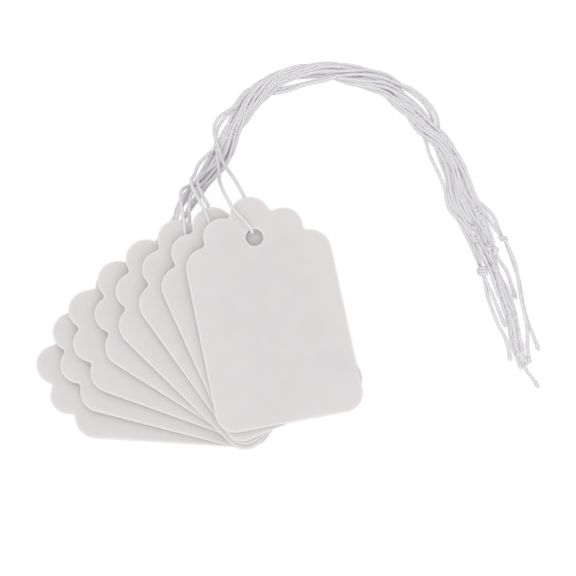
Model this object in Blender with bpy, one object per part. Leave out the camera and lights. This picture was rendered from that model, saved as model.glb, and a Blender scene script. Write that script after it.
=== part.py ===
"""Eight blank scalloped price tags, fanned out flat, each hung on its own looped and knotted string.

The strings gather into one loosely twisted bundle that arches over the table to their knots.
Metres, +Z up. The table is z = 0, and X and Y start at the middle of the fan of cards.
"""
import math
from collections import namedtuple

import bpy
from mathutils import Quaternion, Vector

COLLECTION = "strung_price_tags"
CARD_COLOUR = (0.82, 0.80, 0.80)
CARD_ROUGHNESS = 0.55
STRING_COLOUR = (0.78, 0.77, 0.79)
STRING_ROUGHNESS = 0.6

# Card: a crown bump, two side bumps and two shoulders make the scalloped head
CARD_WIDTH = 0.0280
CARD_LENGTH = 0.0440
CARD_THICKNESS = 0.00035
CROWN_RADIUS = 0.0039
SIDE_BUMP_RADIUS = 0.0037
SIDE_BUMP_REACH = 0.0059  # card's axis to the bump's centre
SIDE_BUMP_DROP = 0.0069  # card's top to the bump's centre
SHOULDER_RADIUS = 0.00415
SHOULDER_DROP = 0.0124  # card's top to the shoulder's centre
NOTCH_RADIUS = 0.0008
CORNER_RADIUS = 0.0036
HOLE_DIAMETER = 0.0033
HOLE_DROP = 0.0080  # card's top to the hole's centre
ARC_STEP = math.radians(14)
HOLE_SIDES = 20

# Fan: lean to the left in degrees and the hole's place on the table, front card first
FAN = (
    (12.2, 0.0102, 0.0159),
    (24.9, 0.0040, 0.0145),
    (35.8, -0.0019, 0.0128),
    (45.8, -0.0074, 0.0098),
    (58.0, -0.0122, 0.0067),
    (70.4, -0.0173, 0.0022),
    (75.6, -0.0202, -0.0013),
    (86.6, -0.0231, -0.0065),
)
SPREAD_LEAN = math.radians(38)  # the way that the gaps between the cards widen
PINCH_GAP = 0.00025  # between two cards where they lie closest

# String
STRING_DIAMETER = 0.0006
STRING_CLEARANCE = 0.0002  # above and below a strand between two cards
BUNDLE_GAP = 0.00028  # between neighbouring strands in the bundle
TABLE_GAP = 0.0001
STRING_RESOLUTION = 2
KNOT_RESOLUTION = 1
TURN_POINTS = 7  # where the string turns through the hole
STATION = 0.0036  # from one point of a strand to the next
LEAD_STATION = 0.0050  # the same, between two cards

# Bundle: the middle line on the table, from the cards' heads over the arch to the cut tails
BUNDLE_ROUTE = (
    (-0.0047, 0.0224),
    (-0.0006, 0.0306),
    (0.0029, 0.0372),
    (0.0057, 0.0440),
    (0.0094, 0.0490),
    (0.0140, 0.0522),
    (0.0200, 0.0540),
    (0.0258, 0.0546),
    (0.0308, 0.0540),
    (0.0365, 0.0517),
    (0.0420, 0.0470),
    (0.0455, 0.0405),
    (0.0480, 0.0345),
    (0.0507, 0.0274),
    (0.0535, 0.0218),
    (0.0556, 0.0149),
    (0.0578, 0.0080),
    (0.0600, 0.0000),
    (0.0625, -0.0090),
)
TWIST_TURNS = 1.25
TWIST_START = 0.012
TWIST_RAMP = 0.014  # over which the twist sets in
TWIST_END = 0.079
FLAT_END = 0.089  # from here the strings lie side by side in columns
OUTER_STRANDS = 12
INNER_STRANDS = 4
WANDER = 0.30  # how far an outer strand strays sideways, as a share of its place
WANDER_LENGTH = 0.021
WANDER_START = 0.010
WANDER_SHIFT = 0.37  # from one string's wandering to the next one's, in its length
STRAND_SHIFT = 0.19  # the same, from a string's back strand to its front one
ROUTE_STEPS = 16  # on the smooth curve, from one point of the route to the next

# Strands that stray to the bundle's right: the card, counted from the lowest, its front strand or its back
# one, where along the bundle it strays furthest, how far, and the length to either side
Stray = namedtuple("Stray", "index front along reach length")
STRAYS = (
    Stray(7, True, 0.0205, -0.0016, 0.0060),
    Stray(7, False, 0.0195, -0.0016, 0.0060),
    Stray(6, True, 0.0130, -0.0006, 0.0050),
    Stray(3, True, 0.0410, 0.0015, 0.0075),
    Stray(4, True, 0.0405, 0.0013, 0.0075),
    Stray(7, False, 0.0580, 0.0006, 0.0040),
    Stray(3, True, 0.0645, -0.0014, 0.0056),
    Stray(1, True, 0.0640, -0.0012, 0.0056),
    Stray(0, False, 0.0760, 0.0012, 0.0056),
)

# Slot of each string's front strand in the bundle, lowest card first: ring, angle from the right
SLOTS = (
    ("outer", 255),
    ("outer", 225),
    ("inner", 225),
    ("outer", 195),
    ("outer", 165),
    ("inner", 135),
    ("outer", 135),
    ("outer", 105),
)

# Each string, lowest card first. A strand leaves the cards at a distance along the bundle and to its right,
# after bowing to the right between the hole and there; the tails' ends are distances along the bundle.
String = namedtuple("String", "front_exit back_exit front_bow back_bow front_tail back_tail")
STRINGS = (
    String((0.0000, -0.0018), (0.0000, -0.0004), -0.0020, 0.0005, 0.1218, 0.1150),
    String((0.0000, -0.0014), (0.0000, 0.0000), -0.0012, 0.0005, 0.1130, 0.1094),
    String((0.0000, -0.0010), (0.0000, 0.0004), -0.0005, 0.0005, 0.1240, 0.1170),
    String((0.0000, -0.0006), (0.0000, 0.0008), -0.0004, 0.0004, 0.1215, 0.1284),
    String((0.0000, -0.0002), (0.0000, 0.0012), -0.0003, 0.0003, 0.1190, 0.1234),
    String((0.0004, 0.0009), (0.0011, 0.0021), -0.0003, 0.0003, 0.1172, 0.1145),
    String((0.0025, 0.0038), (0.0034, 0.0049), -0.0003, 0.0003, 0.1100, 0.1205),
    String((0.0055, 0.0081), (0.0075, 0.0108), -0.0006, 0.0004, 0.1213, 0.1180),
)
GATHER_LENGTH = 0.014  # along the bundle, from the cards to a strand's slot

# Knots, lowest card first: how far along the bundle, to the right of the string's own column and above it,
# and the room in which the string gets there
Knot = namedtuple("Knot", "along right up room")
KNOT_LIFT = 0.0014
KNOT_ROOM = 0.0025
SIDE_ROOM = 0.0090
KNOTS = (
    Knot(0.1030, 0.0008, 0.0, SIDE_ROOM),
    Knot(0.0975, 0.0, KNOT_LIFT, KNOT_ROOM),
    Knot(0.0925, 0.0, KNOT_LIFT, KNOT_ROOM),
    Knot(0.1025, 0.0, KNOT_LIFT, KNOT_ROOM),
    Knot(0.0975, 0.0, KNOT_LIFT, KNOT_ROOM),
    Knot(0.0925, 0.0, KNOT_LIFT, KNOT_ROOM),
    Knot(0.1020, 0.0, KNOT_LIFT, KNOT_ROOM),
    Knot(0.0978, -0.0012, 0.0, SIDE_ROOM),
)
KNOT_LENGTH = 0.0024
KNOT_TURNS = 2
KNOT_POINTS = 20
KNOT_GAP = 0.00015  # between the wraps and the strand that they hold
JOIN_GAP = 0.0003  # between the two nodes of a string, where the knot starts
COLUMN_GAP = 0.0002  # between the strings' columns past the twist
TAIL_DRIFT = -0.05  # how fast the back tails drift to the right
TAIL_START = 0.1050  # where they start to

STRING_RADIUS = STRING_DIAMETER / 2
HOLE_RADIUS = HOLE_DIAMETER / 2
LAY = STRING_DIAMETER + BUNDLE_GAP
RING_RADII = {
    "outer": LAY / (2 * math.sin(math.pi / OUTER_STRANDS)),
    "inner": LAY / (2 * math.sin(math.pi / INNER_STRANDS)),
}
BUNDLE_HEIGHT = RING_RADII["outer"] + STRING_RADIUS + TABLE_GAP
KNOT_RADIUS = STRING_DIAMETER + KNOT_GAP
LOWER_LAYER = STRING_RADIUS + TABLE_GAP
UPPER_LAYER = LOWER_LAYER + KNOT_RADIUS
COLUMN_PITCH = STRING_DIAMETER + COLUMN_GAP
STRING_SPACE = STRING_DIAMETER + 2 * STRING_CLEARANCE
SPREAD = Vector((-math.sin(SPREAD_LEAN), math.cos(SPREAD_LEAN)))
CARDS = tuple(reversed(FAN))  # lowest card first, as all the indices below


def ease(x):
    """0 to 1, level at both ends."""
    x = min(max(x, 0.0), 1.0)
    return x * x * (3 - 2 * x)


def mix(a, b, share):
    return a + (b - a) * share


def hole_place(index):
    return Vector(CARDS[index][1:])


def lowest_corner(index):
    """How far along the spread the furthest of a card's two lower corners lies."""
    lean = math.radians(CARDS[index][0])
    foot = hole_place(index) + (CARD_LENGTH - HOLE_DROP) * Vector((math.sin(lean), -math.cos(lean)))
    half = CARD_WIDTH / 2 * Vector((math.cos(lean), math.sin(lean)))
    return min((foot + half).dot(SPREAD), (foot - half).dot(SPREAD))


PINCH_LINE = min(lowest_corner(i) for i in range(len(CARDS)))
NEAREST_HOLE = min(hole_place(i).dot(SPREAD) for i in range(len(CARDS))) - PINCH_LINE
SLOPE_STEP = (STRING_SPACE - PINCH_GAP) / NEAREST_HOLE
FIRST_SLOPE = STRING_SPACE / (hole_place(0).dot(SPREAD) - PINCH_LINE)


def card_slope(index):
    return FIRST_SLOPE + index * SLOPE_STEP


def card_height(index, place):
    """Height of the middle of a card at a place: the cards open from the pinch like the pages of a book."""
    from_pinch = place.dot(SPREAD) - PINCH_LINE
    return CARD_THICKNESS / 2 + index * (CARD_THICKNESS + PINCH_GAP) + card_slope(index) * from_pinch


def gap_height(gap, place):
    """Half-way height of the gap under card number gap; gap 0 is between the lowest card and the table."""
    if gap == 0:
        return (card_height(0, place) - CARD_THICKNESS / 2) / 2
    return (card_height(gap - 1, place) + card_height(gap, place)) / 2


def catmull_rom(points, steps):
    """A smooth curve through the points."""
    curve = []
    padded = [2 * points[0] - points[1], *points, 2 * points[-1] - points[-2]]
    for a, b, c, d in zip(padded, padded[1:], padded[2:], padded[3:]):
        for k in range(steps):
            t = k / steps
            square = (2 * a - 5 * b + 4 * c - d) * t**2
            cube = (3 * b - a - 3 * c + d) * t**3
            curve.append((2 * b + (c - a) * t + square + cube) / 2)
    return [*curve, points[-1]]


class Route:
    """A curve on the table, read by the distance along it."""

    def __init__(self, points):
        self.curve = catmull_rom([Vector(p) for p in points], ROUTE_STEPS)
        self.along = [0.0]
        for a, b in zip(self.curve, self.curve[1:]):
            self.along.append(self.along[-1] + (b - a).length)

    def at(self, distance):
        """The place on the curve and the unit vector to its right."""
        k = 1
        while k < len(self.along) - 1 and self.along[k] < distance:
            k += 1
        share = (distance - self.along[k - 1]) / (self.along[k] - self.along[k - 1])
        before = self.curve[max(k - 2, 0)]
        after = self.curve[min(k + 1, len(self.curve) - 1)]
        ahead = (after - before).normalized()
        return mix(self.curve[k - 1], self.curve[k], share), Vector((ahead.y, -ahead.x))


BUNDLE = Route(BUNDLE_ROUTE)


def beside_bundle(distance, right):
    place, side = BUNDLE.at(distance)
    return place + right * side


def twist(distance):
    """Turns of the bundle up to a distance along it: it sets in gently and then keeps its pitch."""
    reach = TWIST_END - TWIST_START
    twisted = min(max(distance - TWIST_START, 0.0), reach)
    setting_in = min(twisted, TWIST_RAMP)
    turned = setting_in**2 / (2 * TWIST_RAMP) + twisted - setting_in
    return TWIST_TURNS * turned / (reach - TWIST_RAMP / 2)


def straying(index, front, distance):
    """How far right of its place in the bundle a strand strays."""
    right = 0.0
    for stray in STRAYS:
        if (stray.index, stray.front) == (index, front):
            right += stray.reach * ease(1 - abs(distance - stray.along) / stray.length)
    return right


def ring_offset(index, front, distance):
    """A strand's place in the twisted bundle: to the right of its middle line, and above the table."""
    ring, angle = SLOTS[index]
    slot = math.radians(angle if front else 180 - angle)
    slot += 2 * math.pi * twist(distance)
    stray = 1.0
    if ring == "outer":
        waves = distance / WANDER_LENGTH + WANDER_SHIFT * index + STRAND_SHIFT * front
        loose = ease((distance - WANDER_START) / WANDER_LENGTH)
        loose *= ease((TWIST_END - distance) / WANDER_LENGTH)
        stray += WANDER * loose * (1 + math.sin(2 * math.pi * waves)) / 2
    return stray * RING_RADII[ring] * math.cos(slot), BUNDLE_HEIGHT + RING_RADII[ring] * math.sin(slot)


def beside_knot(index, distance):
    """1 at a string's knot, falling to 0 away from it."""
    knot = KNOTS[index]
    off = abs(distance - knot.along) - KNOT_LENGTH / 2 - STRING_RADIUS
    return ease(1 - off / knot.room)


def column_offset(index, front, distance):
    """A strand's place past the twist: to the right of the bundle's middle line, and above the table."""
    knot = KNOTS[index]
    share = beside_knot(index, distance)
    column = (len(CARDS) - 1) / 2 - index
    drift = 0.0 if front else TAIL_DRIFT * max(distance - TAIL_START, 0.0)
    height = LOWER_LAYER if front else UPPER_LAYER
    return column * COLUMN_PITCH + share * knot.right + drift, height + share * knot.up


def leaving(index, front):
    """Where a strand leaves the cards: how far along the bundle, and how far to its right."""
    return STRINGS[index].front_exit if front else STRINGS[index].back_exit


def bow(index, front):
    return STRINGS[index].front_bow if front else STRINGS[index].back_bow


def to_right(ahead):
    return Vector((ahead.y, -ahead.x)).normalized()


def pull(index):
    """The way, in plan, that a string leaves its hole."""
    middle = (beside_bundle(*leaving(index, True)) + beside_bundle(*leaving(index, False))) / 2
    return (middle - hole_place(index)).normalized()


def hole_edge(index):
    """Where, in plan, the string turns round the edge of its hole."""
    return hole_place(index) + HOLE_RADIUS * pull(index)


def closing_in(index, front):
    """How fast a strand nears the bundle where it leaves the cards."""
    start, right = leaving(index, front)
    _, side = BUNDLE.at(start)
    ahead = beside_bundle(start, right) - hole_edge(index)
    ahead -= 4 * bow(index, front) * to_right(ahead)
    return ahead.dot(side) / ahead.dot(Vector((-side.y, side.x)))


def strand_point(index, front, distance):
    """A point of a strand, past where it leaves the cards."""
    start, right = leaving(index, front)
    height = gap_height(index + 1 if front else index, beside_bundle(start, right))
    share = min((distance - start) / GATHER_LENGTH, 1.0)
    flat = ease((distance - TWIST_END) / (FLAT_END - TWIST_END))
    ring_right, ring_height = ring_offset(index, front, distance)
    flat_right, flat_height = column_offset(index, front, distance)
    right = mix(right, ring_right, ease(share))
    right += closing_in(index, front) * GATHER_LENGTH * share * (1 - share) ** 2
    right = mix(right, flat_right, flat) + straying(index, front, distance)
    height = mix(mix(height, ring_height, ease(share)), flat_height, flat)
    return Vector((*beside_bundle(distance, right), height))


def stations(start, end):
    """Distances along the bundle from one to another, in steps that all the strands share."""
    first = math.floor(start / STATION + 0.5) + 1
    last = math.ceil(end / STATION - 0.5) - 1
    return [start, *(k * STATION for k in range(first, last + 1)), end]


def join(index):
    """Where the front strand meets its knot, as a distance along the bundle."""
    return KNOTS[index].along - KNOT_LENGTH / 2 - JOIN_GAP


def strand(index, front, end):
    """Points of a strand from where it leaves the cards to a distance along the bundle."""
    start, _ = leaving(index, front)
    distances = stations(start, end)
    if not front:
        knot = KNOTS[index].along
        distances = [*stations(start, join(index)), knot, *stations(knot + KNOT_LENGTH / 2, end)]
    return [strand_point(index, front, distance) for distance in distances]


def lead(index, front):
    """Points of a strand between its hole and where it leaves the cards, half-way up the gap it lies in."""
    start = hole_edge(index)
    end = beside_bundle(*leaving(index, front))
    ahead = end - start
    count = round(ahead.length / LEAD_STATION) + 1
    points = []
    for k in range(1, count):
        share = k / count
        place = start + share * ahead + 4 * bow(index, front) * share * (1 - share) * to_right(ahead)
        points.append(Vector((*place, gap_height(index + 1 if front else index, place))))
    return points


def card_normal(index):
    slope = -card_slope(index) * SPREAD
    return Vector((slope.x, slope.y, 1)).normalized()


def turn_radius(index):
    """Half the height between the two strands at the hole's edge."""
    edge = hole_edge(index)
    return (gap_height(index + 1, edge) - gap_height(index, edge)) / 2


def hole_turn(index):
    """Points of the half circle that a string makes round the hole's edge, from the front to the back."""
    edge = hole_edge(index)
    middle = Vector((*edge, (gap_height(index + 1, edge) + gap_height(index, edge)) / 2))
    inward = Vector((*-pull(index), 0))
    radius = turn_radius(index)
    points = []
    for k in range(TURN_POINTS):
        angle = math.pi * (0.5 - k / (TURN_POINTS - 1))
        points.append(middle + radius * (math.cos(angle) * inward + math.sin(angle) * Vector((0, 0, 1))))
    return points


def string_points(index):
    """The loop: from the knot up the front strand, through the hole, and back down to the other tail."""
    string = STRINGS[index]
    front = lead(index, True) + strand(index, True, join(index))
    back = lead(index, False) + strand(index, False, string.back_tail)
    return [*reversed(front), *hole_turn(index), *back]


def knot_points(index):
    """The knot: the front strand's end, wound round the back strand, then out along the table as a tail."""
    knot = KNOTS[index].along
    tail_end = STRINGS[index].front_tail
    points = []
    for k in range(KNOT_POINTS + 1):
        share = k / KNOT_POINTS
        core = strand_point(index, False, knot + KNOT_LENGTH * (share - 0.5))
        _, side = BUNDLE.at(knot)
        angle = 2 * math.pi * KNOT_TURNS * ease(share) - math.pi / 2
        points.append(core + KNOT_RADIUS * Vector((*(math.cos(angle) * side), math.sin(angle))))
    tail = stations(knot + KNOT_LENGTH / 2, tail_end)[1:]
    return points + [strand_point(index, True, distance) for distance in tail]


def arc(centre, radius, start, end):
    """Points of an arc, both ends included."""
    count = max(2, math.ceil(abs(end - start) / ARC_STEP))
    angles = [mix(start, end, k / count) for k in range(count + 1)]
    return [centre + radius * Vector((math.cos(angle), math.sin(angle))) for angle in angles]


def bearing(start, end):
    return math.atan2(end.y - start.y, end.x - start.x)


def notch_centre(a, a_radius, b, b_radius):
    """Centre of the small circle that rounds the notch between two bumps, on the outer side."""
    a_reach = a_radius + NOTCH_RADIUS
    b_reach = b_radius + NOTCH_RADIUS
    apart = (b - a).length
    along = (a_reach**2 - b_reach**2 + apart**2) / (2 * apart)
    ahead = (b - a).normalized()
    return a + along * ahead + math.sqrt(a_reach**2 - along**2) * Vector((-ahead.y, ahead.x))


def card_outline():
    """The card's outline about its hole, clockwise from the crown's top."""
    top = HOLE_DROP
    crown = Vector((0, top - CROWN_RADIUS))
    bump = Vector((SIDE_BUMP_REACH, top - SIDE_BUMP_DROP))
    shoulder = Vector((CARD_WIDTH / 2 - SHOULDER_RADIUS, top - SHOULDER_DROP))
    corner = Vector((CARD_WIDTH / 2 - CORNER_RADIUS, top - CARD_LENGTH + CORNER_RADIUS))
    inner = notch_centre(crown, CROWN_RADIUS, bump, SIDE_BUMP_RADIUS)
    outer = notch_centre(bump, SIDE_BUMP_RADIUS, shoulder, SHOULDER_RADIUS)
    full = 2 * math.pi
    half = arc(crown, CROWN_RADIUS, math.pi / 2, bearing(crown, inner))
    half += arc(inner, NOTCH_RADIUS, bearing(inner, crown) % full, bearing(inner, bump) % full)[1:]
    half += arc(bump, SIDE_BUMP_RADIUS, bearing(bump, inner), bearing(bump, outer))[1:]
    half += arc(outer, NOTCH_RADIUS, bearing(outer, bump) % full, bearing(outer, shoulder) % full)[1:]
    half += arc(shoulder, SHOULDER_RADIUS, bearing(shoulder, outer), 0)[1:]
    half += arc(corner, CORNER_RADIUS, 0, -math.pi / 2)
    return half + [Vector((-p.x, p.y)) for p in reversed(half[1:])]


def circle(radius, sides):
    turns = [2 * math.pi * k / sides for k in range(sides)]
    return [radius * Vector((math.cos(turn), math.sin(turn))) for turn in turns]


def material(name, colour, roughness):
    made = bpy.data.materials.new(name)
    made.use_nodes = True
    shader = made.node_tree.nodes["Principled BSDF"]
    shader.inputs["Base Color"].default_value = (*colour, 1)
    shader.inputs["Roughness"].default_value = roughness
    shader.inputs["Metallic"].default_value = 0
    return made


def add_spline(curve, points, cyclic):
    spline = curve.splines.new("POLY")
    spline.points.add(len(points) - 1)
    for control, point in zip(spline.points, points):
        control.co = (*point.to_3d(), 1)
    spline.use_cyclic_u = cyclic


def add_object(name, data, finish, parts):
    made = bpy.data.objects.new(name, data)
    data.materials.append(finish)
    parts.objects.link(made)
    return made


def add_card(name, finish, parts):
    curve = bpy.data.curves.new(name, "CURVE")
    curve.dimensions = "2D"
    curve.fill_mode = "BOTH"
    curve.extrude = CARD_THICKNESS / 2
    add_spline(curve, card_outline(), True)
    add_spline(curve, circle(HOLE_RADIUS, HOLE_SIDES), True)
    return add_object(name, curve, finish, parts)


def add_tube(name, points, resolution, finish, parts):
    curve = bpy.data.curves.new(name, "CURVE")
    curve.dimensions = "3D"
    curve.bevel_depth = STRING_RADIUS
    curve.bevel_resolution = resolution
    curve.use_fill_caps = True
    add_spline(curve, points, False)
    return add_object(name, curve, finish, parts)


def add_hinge(name, index, parts):
    """An empty where the string passes through the hole, with its Z along the card's normal."""
    hinge = bpy.data.objects.new(name, None)
    place = hole_place(index) + (HOLE_RADIUS - turn_radius(index)) * pull(index)
    hinge.location = (*place, card_height(index, place))
    hinge.rotation_mode = "QUATERNION"
    hinge.rotation_quaternion = Vector((0, 0, 1)).rotation_difference(card_normal(index))
    parts.objects.link(hinge)
    return hinge


def hang_card(card, hinge, index):
    """Puts a card on its hinge, in its own plane, with its hole over its place on the table."""
    hole = Vector((*hole_place(index), card_height(index, hole_place(index))))
    card.parent = hinge
    card.location = hinge.rotation_quaternion.inverted() @ (hole - hinge.location)
    card.rotation_mode = "QUATERNION"
    card.rotation_quaternion = Quaternion((0, 0, 1), math.radians(CARDS[index][0]))


def main():
    for old in list(bpy.data.objects):
        bpy.data.objects.remove(old, do_unlink=True)
    parts = bpy.data.collections.new(COLLECTION)
    bpy.context.scene.collection.children.link(parts)
    card_finish = material("white_card", CARD_COLOUR, CARD_ROUGHNESS)
    string_finish = material("white_twine", STRING_COLOUR, STRING_ROUGHNESS)
    for index in range(len(CARDS)):
        tag = f"tag_{len(CARDS) - index}"
        hinge = add_hinge(f"{tag}_hinge", index, parts)
        hang_card(add_card(f"{tag}_card", card_finish, parts), hinge, index)
        add_tube(f"{tag}_string", string_points(index), STRING_RESOLUTION, string_finish, parts)
        add_tube(f"{tag}_knot", knot_points(index), KNOT_RESOLUTION, string_finish, parts)


main()
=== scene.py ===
"""Eight blank scalloped price tags fanned out flat, each on its own looped and knotted twine.

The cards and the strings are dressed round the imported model, in its own frame: metres, +Z up, the table at 0.
"""
import math
from collections import namedtuple

import bmesh
import bpy
import mathutils
import numpy as np
from mathutils import Matrix, Vector


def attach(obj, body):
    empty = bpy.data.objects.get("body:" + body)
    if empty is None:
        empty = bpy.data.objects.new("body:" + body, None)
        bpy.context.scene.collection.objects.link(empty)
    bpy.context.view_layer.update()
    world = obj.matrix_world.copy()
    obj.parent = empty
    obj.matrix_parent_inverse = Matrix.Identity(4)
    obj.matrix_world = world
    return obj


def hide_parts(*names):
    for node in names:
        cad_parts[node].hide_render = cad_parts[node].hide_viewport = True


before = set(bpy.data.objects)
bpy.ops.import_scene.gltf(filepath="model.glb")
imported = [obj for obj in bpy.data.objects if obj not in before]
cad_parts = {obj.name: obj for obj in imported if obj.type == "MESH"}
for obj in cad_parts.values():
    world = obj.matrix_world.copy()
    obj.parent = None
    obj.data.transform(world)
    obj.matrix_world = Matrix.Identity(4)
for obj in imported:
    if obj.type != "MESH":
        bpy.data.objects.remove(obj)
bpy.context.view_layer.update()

# Camera: the photograph's view, 576 pixels square
IMAGE_SIZE = 576
FOCAL_PIXELS = 2340.6
SENSOR_WIDTH = 36.0
VIEW_TARGET = Vector((0.01655, 0.00965, 0.0))
VIEW_ELEVATION = math.radians(69.51)
VIEW_DISTANCE = 0.450
CLIP_START = 0.01

# Card, as in the solid
CARD_WIDTH = 0.0280
CARD_LENGTH = 0.0440
CARD_THICKNESS = 0.00035
CROWN_RADIUS = 0.0039
SIDE_BUMP_RADIUS = 0.0037
SIDE_BUMP_REACH = 0.0059
SIDE_BUMP_DROP = 0.0069
SHOULDER_RADIUS = 0.00415
SHOULDER_DROP = 0.0124
NOTCH_RADIUS = 0.0008
CORNER_RADIUS = 0.0036
HOLE_DIAMETER = 0.0033
HOLE_DROP = 0.0080
ARC_STEP = math.radians(4)
HOLE_SIDES = 72
EDGE_ROUND = 0.00009  # the die's rounding of the cut edge
EDGE_STEPS = 3
# a band this wide along the cut edge is painted lighter, as a painted highlight
EDGE_REACH = 1.5 * EDGE_ROUND  # how wide the cut edge is, seen from above
RIM_WIDTH = 0.00045
GRID_STEP = 0.0022
GRID_HALF = 9
MEAN_SQUARE = 1 / 12  # of how far a place is from a card's middle, in widths or lengths
CURLS = (  # four times how far each card bends out of flat, across it and along it, lowest card first
    (0.00006, 0.00004),
    (-0.00005, 0.00008),
    (0.00008, -0.00004),
    (0.00004, 0.00007),
    (-0.00006, 0.00005),
    (0.00007, 0.00003),
    (-0.00004, -0.00006),
    (-0.00008, -0.00010),
)

# Fan: lean to the left in degrees and the hole's place on the table, front card first
FAN = (
    (12.2, 0.0102, 0.0159),
    (24.9, 0.0040, 0.0145),
    (35.8, -0.0019, 0.0128),
    (45.8, -0.0074, 0.0098),
    (58.0, -0.0122, 0.0067),
    (70.4, -0.0173, 0.0022),
    (75.6, -0.0202, -0.0013),
    (86.6, -0.0231, -0.0065),
)
SPREAD_LEAN = math.radians(38)
PINCH_GAP = 0.00025

# String and bundle, as in the solid
STRING_DIAMETER = 0.0006
STRING_CLEARANCE = 0.0002
BUNDLE_GAP = 0.00028
TABLE_GAP = 0.0001
BUNDLE_ROUTE = (  # the middle line on the table, from the cards' heads over the arch to the cut tails
    (-0.0047, 0.0224),
    (-0.0006, 0.0306),
    (0.0029, 0.0372),
    (0.0057, 0.0440),
    (0.0094, 0.0490),
    (0.0140, 0.0522),
    (0.0200, 0.0540),
    (0.0258, 0.0546),
    (0.0308, 0.0540),
    (0.0365, 0.0517),
    (0.0420, 0.0470),
    (0.0455, 0.0405),
    (0.0480, 0.0345),
    (0.0507, 0.0274),
    (0.0535, 0.0218),
    (0.0556, 0.0149),
    (0.0578, 0.0080),
    (0.0600, 0.0000),
    (0.0625, -0.0090),
)
ROUTE_STEPS = 16
TWIST_TURNS = 1.25
TWIST_START = 0.012
TWIST_RAMP = 0.014
TWIST_END = 0.079
FLAT_END = 0.089
OUTER_STRANDS = 12
INNER_STRANDS = 4
WANDER = 0.30
WANDER_LENGTH = 0.021
WANDER_START = 0.010
WANDER_SHIFT = 0.37
STRAND_SHIFT = 0.19
GATHER_LENGTH = 0.014
Stray = namedtuple("Stray", "index front along right length")
STRAYS = (  # strands that leave the others: where, how far right of the middle line, over what length
    Stray(3, True, 0.0415, 0.0018, 0.0095),
    Stray(4, True, 0.0412, 0.0013, 0.0095),
    Stray(7, False, 0.0595, 0.0021, 0.0050),
    Stray(3, True, 0.0665, -0.0025, 0.0080),
    Stray(1, True, 0.0662, -0.0020, 0.0080),
    Stray(0, False, 0.0790, 0.0025, 0.0080),
)
Sway = namedtuple("Sway", "along right closer length")
SWAYS = (  # where the other strands draw away from them, and closer together
    Sway(0.0190, 0.0006, 1.00, 0.0120),
    Sway(0.0415, -0.0011, 0.55, 0.0100),
    Sway(0.0665, 0.0009, 0.80, 0.0085),
    Sway(0.0790, -0.0008, 0.90, 0.0080),
    Sway(0.1215, 0.0008, 1.00, 0.0065),
)
Course = namedtuple("Course", "index front leaves joins places")
# Strands on courses of their own: the lengths over which they leave and join the rest, and their places, as
# distances along the middle line and to its right
COURSES = (
    Course(7, True, 0.0, 0.004, (
        (0.0038, 0.0100), (0.0048, 0.0086), (0.0059, 0.0071), (0.0090, 0.0045), (0.0120, 0.0026),
        (0.0155, 0.0002), (0.0185, -0.0012), (0.0208, -0.0021), (0.0232, -0.0021), (0.0252, -0.0016),
        (0.0285, -0.0010),
    )),
    Course(7, False, 0.0, 0.004, (
        (0.0073, 0.0110), (0.0084, 0.0095), (0.0098, 0.0078), (0.0128, 0.0040), (0.0158, 0.0011),
        (0.0184, -0.0012), (0.0205, -0.0028), (0.0218, -0.0035), (0.0236, -0.0032), (0.0258, -0.0020),
        (0.0285, -0.0014),
    )),
    Course(6, True, 0.0, 0.003, (
        (0.0025, 0.0038), (0.0041, 0.0016), (0.0060, 0.0001), (0.0080, -0.0006), (0.0092, -0.0009),
        (0.0119, -0.0019), (0.0140, -0.0020), (0.0164, -0.0017), (0.0190, -0.0012),
    )),
    Course(6, False, 0.0, 0.010, (
        (0.0034, 0.0049), (0.0041, 0.0036), (0.0063, 0.0013), (0.0081, 0.0002), (0.0110, -0.0001),
        (0.0150, 0.0004), (0.0200, 0.0010),
    )),
    Course(0, True, 0.001, 0.003, (
        (0.0005, -0.0011), (0.0035, -0.0017), (0.0061, -0.0018), (0.0082, -0.0012), (0.0115, -0.0008),
    )),
    Course(0, True, 0.005, 0.0, (
        (0.0890, 0.0024), (0.0955, 0.0028), (0.1000, 0.0023), (0.1030, 0.0022), (0.1060, 0.0027),
        (0.1102, 0.0034), (0.1143, 0.0029), (0.1172, 0.0018), (0.1195, 0.0020), (0.1218, 0.0025),
    )),
    Course(0, False, 0.005, 0.0, (
        (0.0890, 0.0020), (0.0955, 0.0024), (0.1000, 0.0021), (0.1030, 0.0022),
        (0.1068, 0.0022), (0.1108, 0.0017), (0.1150, 0.0012),
    )),
    Course(6, True, 0.004, 0.0, (
        (0.0950, -0.0014), (0.0995, -0.0019), (0.1025, -0.0023), (0.1077, -0.0024), (0.1100, -0.0023),
    )),
    Course(7, True, 0.005, 0.0, (
        (0.0850, -0.0018), (0.0893, -0.0027), (0.0927, -0.0037), (0.0961, -0.0036), (0.0978, -0.0042),
        (0.1035, -0.0042), (0.1085, -0.0036), (0.1123, -0.0033), (0.1165, -0.0028), (0.1207, -0.0028),
    )),
    Course(7, False, 0.005, 0.0, (
        (0.0850, -0.0016), (0.0893, -0.0023), (0.0927, -0.0025), (0.0961, -0.0034), (0.0978, -0.0042),
        (0.1035, -0.0038), (0.1085, -0.0032), (0.1155, -0.0026), (0.1190, -0.0017), (0.1232, -0.0009),
    )),
)
COURSE_STEPS = 8
NEAR_RISE = 1.6  # more than 1, so that a stray, a sway or a lift has a level top
Lift = namedtuple("Lift", "index front along up length")
LIFTS = (  # where a strand stands higher, to clear its card as it swings
    Lift(7, True, 0.0060, 0.00065, 0.0022),
)
CLOSENESS = (  # how far the strands are drawn together sideways, at distances along the bundle
    (0.000, 0.90), (0.005, 0.85), (0.010, 0.65), (0.0145, 0.98), (0.0175, 0.98), (0.022, 0.58),
    (0.028, 0.88), (0.042, 0.95), (0.070, 1.00), (0.088, 1.05), (0.097, 0.80), (0.1035, 0.33),
    (0.1075, 0.42), (0.1110, 0.32), (0.1150, 0.30), (0.1180, 0.42), (0.1220, 0.52), (0.130, 0.55),
)
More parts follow.
